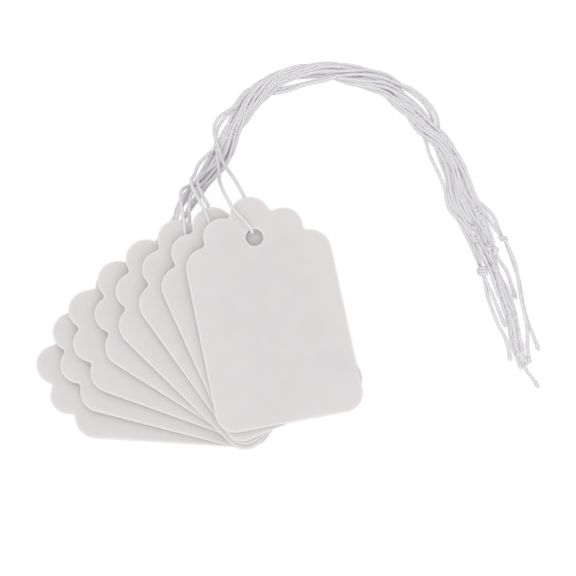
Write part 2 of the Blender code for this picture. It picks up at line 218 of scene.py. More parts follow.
SLOTS = (  # the ring and the angle of each string's front strand; its back strand mirrors it
    ("outer", 255),
    ("outer", 225),
    ("inner", 225),
    ("outer", 195),
    ("outer", 165),
    ("inner", 135),
    ("outer", 135),
    ("outer", 105),
)
# Where a string's two strands leave the cards, along the bundle and to its right; how far to the right they
# bow before that; where their tails end along the bundle; and the loop's length
String = namedtuple("String", "front_exit back_exit front_bow back_bow front_tail back_tail length")
STRINGS = (
    String((0.0000, -0.0010), (0.0000, 0.0002), -0.0020, 0.0005, 0.1218, 0.1150, 0.287),
    String((0.0000, -0.0007), (0.0000, 0.0005), -0.0012, 0.0005, 0.1130, 0.1094, 0.266),
    String((0.0000, -0.0003), (0.0000, 0.0009), -0.0005, 0.0005, 0.1240, 0.1170, 0.256),
    String((0.0000, 0.0001), (0.0000, 0.0013), -0.0004, 0.0004, 0.1215, 0.1284, 0.270),
    String((0.0000, 0.0005), (0.0000, 0.0017), -0.0003, 0.0003, 0.1190, 0.1234, 0.251),
    String((0.0004, 0.0009), (0.0011, 0.0021), -0.0003, 0.0003, 0.1172, 0.1145, 0.228),
    String((0.0025, 0.0038), (0.0034, 0.0049), -0.0003, 0.0003, 0.1100, 0.1205, 0.244),
    String((0.0038, 0.0100), (0.0073, 0.0110), 0.0, 0.0002, 0.1213, 0.1232, 0.236),
)
# Where a knot lies along the bundle, how far it moves its strands to the right and up, over what length they
# go back, and how thin it pulls the twine
Knot = namedtuple("Knot", "along right up room squeeze")
KNOT_LIFT = 0.0014
KNOT_ROOM = 0.0025
SIDE_ROOM = 0.0090
KNOTS = (
    Knot(0.1030, 0.0008, 0.0, SIDE_ROOM, 1.0),
    Knot(0.0966, 0.0, KNOT_LIFT, KNOT_ROOM, 0.66),
    Knot(0.0940, 0.0, KNOT_LIFT, KNOT_ROOM, 0.66),
    Knot(0.1036, 0.0, KNOT_LIFT, KNOT_ROOM, 0.66),
    Knot(0.0990, 0.0, KNOT_LIFT, KNOT_ROOM, 0.66),
    Knot(0.0912, 0.0, KNOT_LIFT, KNOT_ROOM, 0.66),
    Knot(0.0998, 0.0, KNOT_LIFT, KNOT_ROOM, 0.66),
    Knot(0.0978, -0.0012, 0.0, SIDE_ROOM, 0.76),
)
KNOT_LENGTH = 0.0024
KNOT_GAP = 0.00015
COLUMN_GAP = 0.0002
TAIL_DRIFT = -0.05
TAIL_START = 0.1050
BOW_PEAK = 0.25 * 0.75**3  # a lead bows most a quarter of the way from its hole

# Twine: plies laid round each other
TWINE_RADIUS = 0.00036
PACKED_RADIUS = 0.00030  # where soft strands press on each other
PILED_RADIUS = 0.00023  # where they press most, in the pile of tails
PLIES = 2
PLY_SIDES = 8
PLY_PITCH = 0.0021
PLY_GROOVE = 0.135  # how deep the groove between two plies is, as a share of the radius
RING_STEP = 0.00021  # from one ring of the tube to the next
FRAYED_LENGTH = 0.0019
FRAYED_GROOVE = 0.55  # the plies part at a cut end
TIP_SHAPE = (0.7, 1.05, 1.22, 1.30, 1.30, 1.24, 1.16, 1.08, 1.02)  # radii of a frayed end's rings, tip first
GROOVE_POWER = 1.3  # more than 1 makes the groove narrower
FIRST_SIDE = (0.3, 0.2, 1.0)  # a direction that no tube starts along
CURVE_STEPS = 6
LEAST_RINGS = 4
SAME_PLACE = 1e-7  # points closer than this are one

# Finishes: colours, and how many cells of a pattern go to a metre
PAPER_SHADE = (0.834, 0.808, 0.804)
PAPER_LIGHT = (0.848, 0.824, 0.820)
PAPER_FIBRE = (0.870, 0.848, 0.846)
# painted highlight: the cut edge is laid in a lighter tone, where it would catch the light
PAPER_EDGE_HIGHLIGHT = (0.93, 0.912, 0.906)
CLOUDS = 260.0
FIBRES = 5200.0
FIBRE_HEIGHT = 0.00003
# painted shade: the twine is painted darker in the grooves between its plies than on their crests
TWINE_GROOVE_PAINTED_SHADE = (0.945, 0.913, 0.942)
TWINE_CREST = (0.968, 0.940, 0.965)
TWINE_LINT = (0.972, 0.950, 0.972)
LINT = 9000.0
LINT_HEIGHT = 0.00004

# Floor and light
FLOOR_SIZE = 4.0
FLOOR_TONE = (0.8, 0.8, 0.8, 1)  # as it lights the tags
FLOOR_SEEN = (0.12, 0.12, 0.12, 1)  # as it takes their shadow, where it is seen
FLOOR_GLOW = 0.92
WORLD_COLOUR = (0.998, 0.990, 1.0, 1)
WORLD_STRENGTH = 0.672
WHITE_STRENGTH = 1.0  # of the world, where it is seen
LAMP_COLOUR = (0.985, 0.985, 1.0)
LAMP_TARGET = Vector((0.015, 0.012, 0.0))
Lamp = namedtuple("Lamp", "name place size power")
LAMPS = (
    Lamp("key", (0.10, -0.45, 0.30), 0.50, 0.525),
    Lamp("fill", (-0.08, -0.10, 0.48), 0.60, 0.30),
    Lamp("back", (-0.20, 0.30, 0.30), 0.40, 0.10),
)
MAX_BOUNCES = 20
DIFFUSE_BOUNCES = 16

STRING_RADIUS = STRING_DIAMETER / 2
HOLE_RADIUS = HOLE_DIAMETER / 2
LAY = STRING_DIAMETER + BUNDLE_GAP
RING_RADII = {
    "outer": LAY / (2 * math.sin(math.pi / OUTER_STRANDS)),
    "inner": LAY / (2 * math.sin(math.pi / INNER_STRANDS)),
}
BUNDLE_HEIGHT = RING_RADII["outer"] + STRING_RADIUS + TABLE_GAP
KNOT_RADIUS = STRING_DIAMETER + KNOT_GAP
LOWER_LAYER = STRING_RADIUS + TABLE_GAP
UPPER_LAYER = LOWER_LAYER + KNOT_RADIUS
COLUMN_PITCH = STRING_DIAMETER + COLUMN_GAP
STRING_SPACE = STRING_DIAMETER + 2 * STRING_CLEARANCE
SPREAD = Vector((-math.sin(SPREAD_LEAN), math.cos(SPREAD_LEAN)))
CARDS = tuple(reversed(FAN))  # lowest card first, as all the indices below


def ease(x):
    """0 to 1, level at both ends."""
    x = min(max(x, 0.0), 1.0)
    return x * x * (3 - 2 * x)


def mix(a, b, share):
    return a + (b - a) * share


def hole_place(index):
    return Vector(CARDS[index][1:])


def lowest_corner(index):
    """How far along the spread the furthest of a card's two lower corners lies."""
    lean = math.radians(CARDS[index][0])
    foot = hole_place(index) + (CARD_LENGTH - HOLE_DROP) * Vector((math.sin(lean), -math.cos(lean)))
    half = CARD_WIDTH / 2 * Vector((math.cos(lean), math.sin(lean)))
    return min((foot + half).dot(SPREAD), (foot - half).dot(SPREAD))


PINCH_LINE = min(lowest_corner(i) for i in range(len(CARDS)))
NEAREST_HOLE = min(hole_place(i).dot(SPREAD) for i in range(len(CARDS))) - PINCH_LINE
SLOPE_STEP = (STRING_SPACE - PINCH_GAP) / NEAREST_HOLE
FIRST_SLOPE = STRING_SPACE / (hole_place(0).dot(SPREAD) - PINCH_LINE)


def card_slope(index):
    return FIRST_SLOPE + index * SLOPE_STEP


def card_height(index, place):
    """Height of the middle of a card at a place: the cards open from the pinch like the pages of a book."""
    from_pinch = place.dot(SPREAD) - PINCH_LINE
    return CARD_THICKNESS / 2 + index * (CARD_THICKNESS + PINCH_GAP) + card_slope(index) * from_pinch


def gap_height(gap, place):
    """Half-way height of the gap under card number gap; gap 0 is between the lowest card and the table."""
    if gap == 0:
        return (card_height(0, place) - CARD_THICKNESS / 2) / 2
    return (card_height(gap - 1, place) + card_height(gap, place)) / 2


def catmull_rom(points, steps):
    """A smooth curve through the points."""
    curve = []
    padded = [2 * points[0] - points[1], *points, 2 * points[-1] - points[-2]]
    for a, b, c, d in zip(padded, padded[1:], padded[2:], padded[3:]):
        for k in range(steps):
            t = k / steps
            square = (2 * a - 5 * b + 4 * c - d) * t**2
            cube = (3 * b - a - 3 * c + d) * t**3
            curve.append((2 * b + (c - a) * t + square + cube) / 2)
    return [*curve, points[-1]]


class Route:
    """A curve on the table, read by the distance along it."""

    def __init__(self, points):
        self.curve = catmull_rom([Vector(p) for p in points], ROUTE_STEPS)
        self.along = [0.0]
        for a, b in zip(self.curve, self.curve[1:]):
            self.along.append(self.along[-1] + (b - a).length)

    def at(self, distance):
        """The place on the curve and the unit vector to its right."""
        k = 1
        while k < len(self.along) - 1 and self.along[k] < distance:
            k += 1
        share = (distance - self.along[k - 1]) / (self.along[k] - self.along[k - 1])
        before = self.curve[max(k - 2, 0)]
        after = self.curve[min(k + 1, len(self.curve) - 1)]
        ahead = (after - before).normalized()
        return mix(self.curve[k - 1], self.curve[k], share), Vector((ahead.y, -ahead.x))


BUNDLE = Route(BUNDLE_ROUTE)


def beside_bundle(distance, right):
    place, side = BUNDLE.at(distance)
    return place + float(right) * side


def twist(distance):
    """Turns of the bundle up to a distance along it: it sets in gently and then keeps its pitch."""
    reach = TWIST_END - TWIST_START
    twisted = min(max(distance - TWIST_START, 0.0), reach)
    setting_in = min(twisted, TWIST_RAMP)
    turned = setting_in**2 / (2 * TWIST_RAMP) + twisted - setting_in
    return TWIST_TURNS * turned / (reach - TWIST_RAMP / 2)


def near(distance, along, length):
    """1 about a place along the bundle, falling to 0 at a length from it."""
    return ease(NEAR_RISE * (1 - abs(distance - along) / length))


def on_course(index, front, distance, right):
    """A strand's place to the right, where it may keep to a course of its own."""
    for course in COURSES:
        if (course.index, course.front) == (index, front):
            distances, places = zip(*catmull_rom([Vector(p) for p in course.places], COURSE_STEPS))
            share = 1.0
            if course.leaves:
                share *= ease((distance - distances[0]) / course.leaves)
            if course.joins:
                share *= ease((distances[-1] - distance) / course.joins)
            right = mix(right, np.interp(distance, distances, places), share)
    return float(right)


def drawn_aside(index, front, distance, right):
    """A strand's place to the right once it has swayed, strayed or taken its own course."""
    for sway in SWAYS:
        right = mix(right, sway.closer * right + sway.right, near(distance, sway.along, sway.length))
    for stray in STRAYS:
        if (stray.index, stray.front) == (index, front):
            right = mix(right, stray.right, near(distance, stray.along, stray.length))
    return on_course(index, front, distance, right)


def ring_offset(index, front, distance):
    """A strand's place in the twisted bundle: to the right of its middle line, and above the table."""
    ring, angle = SLOTS[index]
    slot = math.radians(angle if front else 180 - angle)
    slot += 2 * math.pi * twist(distance)
    stray = 1.0
    if ring == "outer":
        waves = distance / WANDER_LENGTH + WANDER_SHIFT * index + STRAND_SHIFT * front
        loose = ease((distance - WANDER_START) / WANDER_LENGTH)
        loose *= ease((TWIST_END - distance) / WANDER_LENGTH)
        stray += WANDER * loose * (1 + math.sin(2 * math.pi * waves)) / 2
    return stray * RING_RADII[ring] * math.cos(slot), BUNDLE_HEIGHT + RING_RADII[ring] * math.sin(slot)


def beside_knot(index, distance):
    """1 at a string's knot, falling to 0 away from it."""
    knot = KNOTS[index]
    off = abs(distance - knot.along) - KNOT_LENGTH / 2 - STRING_RADIUS
    return ease(1 - off / knot.room)


def column_offset(index, front, distance):
    """A strand's place past the twist: to the right of the bundle's middle line, and above the table."""
    knot = KNOTS[index]
    share = beside_knot(index, distance)
    column = (len(CARDS) - 1) / 2 - index
    drift = 0.0 if front else TAIL_DRIFT * max(distance - TAIL_START, 0.0)
    height = LOWER_LAYER if front else UPPER_LAYER
    return column * COLUMN_PITCH + share * knot.right + drift, height + share * knot.up


def leaving(index, front):
    """Where a strand leaves the cards: how far along the bundle, and how far to its right."""
    return STRINGS[index].front_exit if front else STRINGS[index].back_exit


def bow(index, front):
    return STRINGS[index].front_bow if front else STRINGS[index].back_bow


def to_right(ahead):
    return Vector((ahead.y, -ahead.x)).normalized()


def pull(index):
    """The way, in plan, that a string leaves its hole."""
    middle = (beside_bundle(*leaving(index, True)) + beside_bundle(*leaving(index, False))) / 2
    return (middle - hole_place(index)).normalized()


def hole_edge(index):
    """Where, in plan, the string turns round the edge of its hole."""
    return hole_place(index) + HOLE_RADIUS * pull(index)


def closing_in(index, front):
    """How fast a strand nears the bundle where it leaves the cards."""
    start, right = leaving(index, front)
    _, side = BUNDLE.at(start)
    ahead = beside_bundle(start, right) - hole_edge(index)
    return ahead.dot(side) / ahead.dot(Vector((-side.y, side.x)))


def strand_offset(index, front, distance):
    """A strand's place past where it leaves the cards: to the bundle's right, and above the table."""
    start, right = leaving(index, front)
    height = gap_height(index + 1 if front else index, beside_bundle(start, right))
    share = min((distance - start) / GATHER_LENGTH, 1.0)
    flat = ease((distance - TWIST_END) / (FLAT_END - TWIST_END))
    ring_right, ring_height = ring_offset(index, front, distance)
    flat_right, flat_height = column_offset(index, front, distance)
    right = mix(right, ring_right, ease(share))
    right += closing_in(index, front) * GATHER_LENGTH * share * (1 - share) ** 2
    right = mix(right, flat_right, flat)
    height = mix(mix(height, ring_height, ease(share)), flat_height, flat)
    for lift in LIFTS:
        if (lift.index, lift.front) == (index, front):
            height += lift.up * near(distance, lift.along, lift.length)
    return right, height


def lead(index, front, step):
    """Points of a strand from its hole to where it leaves the cards, half-way up the gap it lies in."""
    start = hole_edge(index)
    end = beside_bundle(*leaving(index, front))
    ahead = end - start
    count = round(ahead.length / step) + 1
    points = []
    for k in range(1, count):
        share = k / count
        aside = bow(index, front) * share * (1 - share) ** 3 / BOW_PEAK
        place = start + share * ahead + aside * to_right(ahead)
        points.append((*place, gap_height(index + 1 if front else index, place)))
    return points


def hole_turn(index):
    """Points of the half circle that a string makes round the hole's edge, from the front to the back."""
    edge = hole_edge(index)
    upper = gap_height(index + 1, edge)
    lower = gap_height(index, edge)
    radius = (upper - lower) / 2
    inward = -pull(index)
    points = []
    for k in range(TURN_POINTS):
        angle = math.pi * (0.5 - k / (TURN_POINTS - 1))
        place = edge + radius * math.cos(angle) * inward
        points.append((*place, (upper + lower) / 2 + radius * math.sin(angle)))
    return points


# The strands as laid: read from the routes, then settled on each other and on the table
SECTION_STEP = 0.0005
SECTIONS = 260
STRANDS = [(index, front) for index in range(len(CARDS)) for front in (True, False)]
FREE_START = 0.003  # from the cards to where a strand may settle
FREE_RAMP = 0.006
FREE_ENOUGH = 0.5  # for the table to hold a strand up
SETTLE_ROUNDS = 220
PUSH_SHARE = 0.3  # of an overlap, in each round
RETURN_SHARE = 0.04  # of the way to where a strand is wanted
STRAIGHTEN_SHARE = 0.35  # of a bend
LEAST_APART = 1e-6
PRESSED = 0.42  # how far the twisted bundle is drawn together downwards
TAIL_PRESSED = 0.30
PILE_STEP = 0.0005  # the tails lie on each other past the knots
BACK_STEPS = 0.6  # how much higher a back tail lies there
PILE = (0.1080, 0.0160)
ROAM = 0.00030  # how far a strand roams by itself
TAIL_ROAM = 0.00045
ROAM_RAMP = 0.02
ROAM_LENGTHS = (0.0235, 0.0127)
ROAM_SHIFT = 0.618  # of a wave, from one strand to the next
TIP_RISE = 2  # frayed lengths before its end, a tail starts to rise for it
KNOT_WRAP_LENGTH = 0.0017  # of twine that isn't squeezed
KNOT_WRAPS = 2
KNOT_TILT = 0.00048  # how far the wraps slant
KNOT_REACH = 0.004  # from the knot to where its two strands start to part
KNOT_HALF = 3  # twine radii from a knot's middle to its outside
WRAP_MIDDLE = 1.9  # twine radii from a knot's middle to the middle of its wraps
WRAP_POINTS = 72
WRAP_ENDS = 6  # the wraps close in over a sixth of the way at each end
SQUEEZE_REACH = 0.0009  # from a knot's middle to where its twine starts to swell again
SQUEEZE_RAMP = 0.0008
TURN_POINTS = 9  # round the edge of a hole


def tail_end(index, front):
    return STRINGS[index].front_tail if front else STRINGS[index].back_tail


def roaming(j, distance):
    """A strand's own slow waves, to the right and upwards."""
    waves = [distance / length + ROAM_SHIFT * j * (k + 1) for k, length in enumerate(ROAM_LENGTHS)]
    slow, quick = (2 * math.pi * wave for wave in waves)
    right = math.sin(slow) + math.sin(quick)
    up = math.cos(slow) - math.sin(quick + j)
    return np.array([right, up]) / 2


def wrapped_length(index):
    return KNOT_WRAP_LENGTH * KNOTS[index].squeeze


def off_knot(index, distance):
    """How far along the bundle a place lies from the ends of a string's knot; less than 0 inside it."""
    return abs(distance - KNOTS[index].along) - wrapped_length(index) / 2


Laid = namedtuple("Laid", "place target alive free tied radius lowest")


def laid_strands(along):
    """The strands before they settle, at each section: where they are, want to be, and what binds them."""
    shape = (SECTIONS, len(STRANDS))
    laid = Laid(
        place=np.zeros((*shape, 2)),
        target=np.zeros((*shape, 2)),
        alive=np.zeros(shape, bool),
        free=np.zeros(shape),
        tied=np.zeros(shape),
        radius=np.full(shape, PACKED_RADIUS),
        lowest=np.full(shape, TWINE_RADIUS),
    )
    place, target, alive, free, tied, radius, lowest = laid
    for j, (index, front) in enumerate(STRANDS):
        start, _ = leaving(index, front)
        end = tail_end(index, front)
        for k, distance in enumerate(along):
            tail = ease((distance - TWIST_END) / (FLAT_END - TWIST_END))
            place[k, j] = strand_offset(index, front, max(distance, start))
            place[k, j, 0] = on_course(index, front, distance, place[k, j, 0])
            free[k, j] = ease((distance - start - FREE_START) / FREE_RAMP)
            pressed = mix(PRESSED, TAIL_PRESSED, tail)
            right = np.interp(distance, *zip(*CLOSENESS)) * place[k, j, 0]
            right = drawn_aside(index, front, distance, right)
            drawn = np.array([right, TWINE_RADIUS + pressed * (place[k, j, 1] - LOWER_LAYER)])
            drawn[1] += (index % 2 + BACK_STEPS * (not front)) * PILE_STEP * near(distance, *PILE)
            roam = mix(ROAM, TAIL_ROAM, ease((distance - FLAT_END) / ROAM_RAMP))
            drawn += roam * roaming(j, distance)
            target[k, j] = mix(place[k, j], drawn, free[k, j])
            off = off_knot(index, distance)
            radius[k, j] = mix(PACKED_RADIUS, PILED_RADIUS, near(distance, *PILE))
            alive[k, j] = start <= distance <= end + SECTION_STEP
            lowest[k, j] *= mix(1.0, max(TIP_SHAPE), ease((distance - end) / FRAYED_LENGTH + TIP_RISE))
            if front:
                alive[k, j] &= off > -SECTION_STEP
                tied[k, j] = ease(1 - off / KNOT_REACH)
            else:
                thick = KNOTS[index].squeeze * KNOT_HALF * TWINE_RADIUS
                radius[k, j] = mix(radius[k, j], thick, ease(1 - off / (2 * TWINE_RADIUS)))
                lowest[k, j] = max(lowest[k, j], radius[k, j])
    return laid


def touching(along, alive):
    """Which strands press on which at each section; the two that a knot ties don't."""
    both = alive[:, :, None] & alive[:, None, :]
    both &= ~np.eye(len(STRANDS), dtype=bool)
    for j in range(0, len(STRANDS), 2):
        index, _ = STRANDS[j]
        at_knot = np.array([off_knot(index, distance) < KNOT_HALF * TWINE_RADIUS for distance in along])
        both[at_knot, j, j + 1] = False
        both[at_knot, j + 1, j] = False
    return both


def settled_strands(along):
    """Each strand's offsets from the bundle's middle line, at every section along it."""
    place, target, alive, free, tied, radius, lowest = laid_strands(along)
    both = touching(along, alive)
    reach = radius[:, :, None] + radius[:, None, :]
    inner = alive[2:] & alive[1:-1] & alive[:-2]
    partner = np.arange(len(STRANDS)) ^ 1
    for _ in range(SETTLE_ROUNDS):
        apart = place[:, :, None] - place[:, None, :]
        distance = np.maximum(np.linalg.norm(apart, axis=-1), LEAST_APART)
        overlap = np.where(both, np.maximum(reach - distance, 0.0), 0.0)
        push = (apart / distance[..., None] * overlap[..., None]).sum(2)
        place += PUSH_SHARE * push * free[..., None]
        wanted = mix(target, place[:, partner], tied[..., None])
        place += RETURN_SHARE * (wanted - place) * free[..., None]
        place[:, :, 1] = np.maximum(place[:, :, 1], np.where(free > FREE_ENOUGH, lowest, 0.0))
        bend = (place[2:] + place[:-2]) / 2 - place[1:-1]
        place[1:-1] += STRAIGHTEN_SHARE * bend * (inner * free[1:-1])[..., None]
    return place


def resampled(points, step):
    """Points an even step apart on a smooth curve through the given ones."""
    points = np.asarray(points, float)
    keep = np.ones(len(points), bool)
    keep[1:] = np.linalg.norm(np.diff(points, axis=0), axis=1) > SAME_PLACE
    points = points[keep]
    smooth = np.array([tuple(p) for p in catmull_rom([Vector(p) for p in points], CURVE_STEPS)])
    reach = np.concatenate([[0.0], np.cumsum(np.linalg.norm(np.diff(smooth, axis=0), axis=1))])
    count = max(LEAST_RINGS, round(reach[-1] / step))
    wanted = np.linspace(0.0, reach[-1], count + 1)
    return np.stack([np.interp(wanted, reach, smooth[:, axis]) for axis in range(3)], axis=1)


ALONG = np.arange(SECTIONS) * SECTION_STEP
PLACES = settled_strands(ALONG)


def strand_at(index, front, distance):
    """The settled strand's offsets at a distance along the bundle."""
    j = STRANDS.index((index, front))
    return np.array([np.interp(distance, ALONG, PLACES[:, j, axis]) for axis in (0, 1)])


def in_space(distance, offset):
    return (*beside_bundle(distance, offset[0]), offset[1])


def strand_path(index, front, start, end):
    count = max(2, round((end - start) / SECTION_STEP))
    distances = [mix(start, end, k / count) for k in range(count + 1)]
    return [in_space(s, strand_at(index, front, s)) for s in distances]


def wrap_start(index):
    return KNOTS[index].along - wrapped_length(index) / 2


def knot_middle(index):
    return in_space(KNOTS[index].along, strand_at(index, False, KNOTS[index].along))


def string_path(index):
    """The loop: from the knot up the front strand, through the hole, and back down to the other tail."""
    front = lead(index, True, SECTION_STEP)
    front += strand_path(index, True, leaving(index, True)[0], wrap_start(index))
    back = lead(index, False, SECTION_STEP)
    back += strand_path(index, False, leaving(index, False)[0], STRINGS[index].back_tail)
    return [*reversed(front), *hole_turn(index), *back]


def knot_path(index):
    """The front strand's end: wrapped round the back strand, then out as the other tail."""
    first = wrap_start(index)
    last = first + wrapped_length(index)
    start = strand_at(index, True, first) - strand_at(index, False, first)
    end = strand_at(index, True, last) - strand_at(index, False, last)
    angle = math.atan2(start[1], start[0])
    turn = (math.atan2(end[1], end[0]) - angle) % (2 * math.pi) + 2 * math.pi * KNOT_WRAPS
    tight = WRAP_MIDDLE * KNOTS[index].squeeze * TWINE_RADIUS
    points = []
    for k in range(WRAP_POINTS):
        share = k / WRAP_POINTS
        closed = min(ease(share * WRAP_ENDS), ease((1 - share) * WRAP_ENDS))
        radius = mix(np.linalg.norm(start if share < 0.5 else end), tight, closed)
        now = angle + turn * share
        s = mix(first, last, share)
        offset = strand_at(index, False, s) + radius * np.array([math.cos(now), math.sin(now)])
        slant = KNOT_TILT * KNOTS[index].squeeze * closed * math.sin(now)
        points.append(in_space(s + slant, offset))
    return points + strand_path(index, True, last, STRINGS[index].front_tail)


def groove_depths(points):
    """How deep the grooves between the plies are at each point: deeper where they part, at the cut end."""
    off = np.linalg.norm(points - points[-1], axis=1)
    return np.array([mix(FRAYED_GROOVE, PLY_GROOVE, ease(d / FRAYED_LENGTH)) for d in off])


def twine_radii(points, index):
    """The twine's radius at each point: thinner where the knot holds it, and rounded at its far end."""
    off = np.linalg.norm(points - np.array(knot_middle(index)), axis=1)
    loose = [ease((d - SQUEEZE_REACH) / SQUEEZE_RAMP) for d in off]
    radii = np.array([mix(KNOTS[index].squeeze, 1.0, share) for share in loose]) * TWINE_RADIUS
    radii[-len(TIP_SHAPE):] *= TIP_SHAPE[::-1]
    return radii


def add_tube(name, path, index, finish):
    """A tube of laid plies along a path."""
    points = resampled(path, RING_STEP)
    radii = twine_radii(points, index)
    ahead = np.gradient(points, axis=0)
    ahead /= np.linalg.norm(ahead, axis=1)[:, None]
    side = np.cross(ahead[0], FIRST_SIDE)
    side /= np.linalg.norm(side)
    sides = [side]
    for direction in ahead[1:]:
        side = side - direction * side.dot(direction)
        side = side / np.linalg.norm(side)
        sides.append(side)
    sides = np.array(sides)
    ups = np.cross(ahead, sides)
    count = PLIES * PLY_SIDES
    turns = 2 * math.pi * np.arange(count) / count
    swell = np.abs(np.cos(PLIES * turns / 2))  # 1 on a ply's crest, 0 in the groove beside it
    spin = 2 * math.pi * np.arange(len(points)) * RING_STEP / PLY_PITCH
    angles = turns[None, :] + spin[:, None]
    reach = radii[:, None] * (1 - groove_depths(points)[:, None] * (1 - swell[None, :]) ** GROOVE_POWER)
    rings = points[:, None] + reach[..., None] * (
        np.cos(angles)[..., None] * sides[:, None] + np.sin(angles)[..., None] * ups[:, None]
    )
    faces = []
    for k in range(len(points) - 1):
        for m in range(count):
            n = (m + 1) % count
            faces.append((k * count + m, k * count + n, (k + 1) * count + n, (k + 1) * count + m))
    faces.append(tuple(reversed(range(count))))
    faces.append(tuple(range((len(points) - 1) * count, len(points) * count)))
    mesh = bpy.data.meshes.new(name)
    mesh.from_pydata(rings.reshape(-1, 3).tolist(), [], faces)
    mesh.shade_smooth()
    # crest mask, by which the grooves are painted darker as shade
    crest = mesh.attributes.new("crest", "FLOAT", "POINT")
    crest.data.foreach_set("value", np.tile(swell, len(points)).astype(np.float32))
    mesh.materials.append(finish)
    made = bpy.data.objects.new(name, mesh)
    bpy.context.scene.collection.objects.link(made)
    return made, points


def arc(centre, radius, start, end):
    """Points of an arc, both ends included."""
    count = max(2, math.ceil(abs(end - start) / ARC_STEP))
    angles = [mix(start, end, k / count) for k in range(count + 1)]
    return [centre + radius * Vector((math.cos(angle), math.sin(angle))) for angle in angles]


def bearing(start, end):
    return math.atan2(end.y - start.y, end.x - start.x)


def notch_centre(a, a_radius, b, b_radius):
    """Centre of the small circle that rounds the notch between two bumps, on the outer side."""
    a_reach = a_radius + NOTCH_RADIUS
    b_reach = b_radius + NOTCH_RADIUS
    apart = (b - a).length
    along = (a_reach**2 - b_reach**2 + apart**2) / (2 * apart)
    ahead = (b - a).normalized()
    return a + along * ahead + math.sqrt(a_reach**2 - along**2) * Vector((-ahead.y, ahead.x))


def card_outline():
    """The card's outline about its hole, clockwise from the crown's top."""
    top = HOLE_DROP
    crown = Vector((0, top - CROWN_RADIUS))
    bump = Vector((SIDE_BUMP_REACH, top - SIDE_BUMP_DROP))
    shoulder = Vector((CARD_WIDTH / 2 - SHOULDER_RADIUS, top - SHOULDER_DROP))
    corner = Vector((CARD_WIDTH / 2 - CORNER_RADIUS, top - CARD_LENGTH + CORNER_RADIUS))
    inner = notch_centre(crown, CROWN_RADIUS, bump, SIDE_BUMP_RADIUS)
    outer = notch_centre(bump, SIDE_BUMP_RADIUS, shoulder, SHOULDER_RADIUS)
    full = 2 * math.pi
    half = arc(crown, CROWN_RADIUS, math.pi / 2, bearing(crown, inner))
    half += arc(inner, NOTCH_RADIUS, bearing(inner, crown) % full, bearing(inner, bump) % full)[1:]
    half += arc(bump, SIDE_BUMP_RADIUS, bearing(bump, inner), bearing(bump, outer))[1:]
    half += arc(outer, NOTCH_RADIUS, bearing(outer, bump) % full, bearing(outer, shoulder) % full)[1:]
    half += arc(shoulder, SHOULDER_RADIUS, bearing(shoulder, outer), 0)[1:]
    half += arc(corner, CORNER_RADIUS, 0, -math.pi / 2)
    return half + [Vector((-p.x, p.y)) for p in reversed(half[1:])]


def circle(radius, sides):
    turns = [2 * math.pi * k / sides for k in range(sides)]
    return [radius * Vector((math.cos(turn), math.sin(turn))) for turn in turns]


def inset(points, by):
    """A closed outline moved inwards, or outwards for a hole that runs the other way round."""
    moved = []
    for before, point, after in zip([points[-1], *points[:-1]], points, [*points[1:], points[0]]):
        ahead = (point - before).normalized() + (after - point).normalized()
        moved.append(point + by * Vector((ahead.y, -ahead.x)).normalized())
    return moved


def curl(index, place):
    """How far a card bends out of its plane, in its own frame."""
    across, down = CURLS[index]
    x = place.x / CARD_WIDTH
    y = (place.y - HOLE_DROP + CARD_LENGTH / 2) / CARD_LENGTH
    return across * (x * x - MEAN_SQUARE) + down * (y * y - MEAN_SQUARE)


def inside(point, outline):
    """Whether a point lies inside a closed outline."""
    odd = False
    for a, b in zip(outline, [*outline[1:], outline[0]]):
        if (a.y > point.y) != (b.y > point.y):
            if point.x < a.x + (b.x - a.x) * (point.y - a.y) / (b.y - a.y):
                odd = not odd
    return odd


def edge_profile():
    """The cut edge in section, from the card's back to its front: how far in, and how high."""
    half = CARD_THICKNESS / 2
    profile = [(0.0, 0.0)]
    for k in range(EDGE_STEPS + 1):
        angle = math.pi / 2 * k / EDGE_STEPS
        profile.append((EDGE_ROUND * (1 - math.cos(angle)), half - EDGE_ROUND * (1 - math.sin(angle))))
    profile.append((RIM_WIDTH, half))
    return [(by, -height) for by, height in reversed(profile[1:])] + profile


def face_grid(border):
    """Points spread over the card's face, clear of its border and its hole."""
    grid = []
    for i in range(-GRID_HALF, GRID_HALF + 1):
        for j in range(-2 * GRID_HALF, GRID_HALF + 1):
            spot = Vector((i * GRID_STEP, j * GRID_STEP))
            clear = spot.length > HOLE_RADIUS + RIM_WIDTH + GRID_STEP / 2
            if clear and inside(spot, border) and min((spot - p).length for p in border) > GRID_STEP / 2:
                grid.append(spot)
    return grid


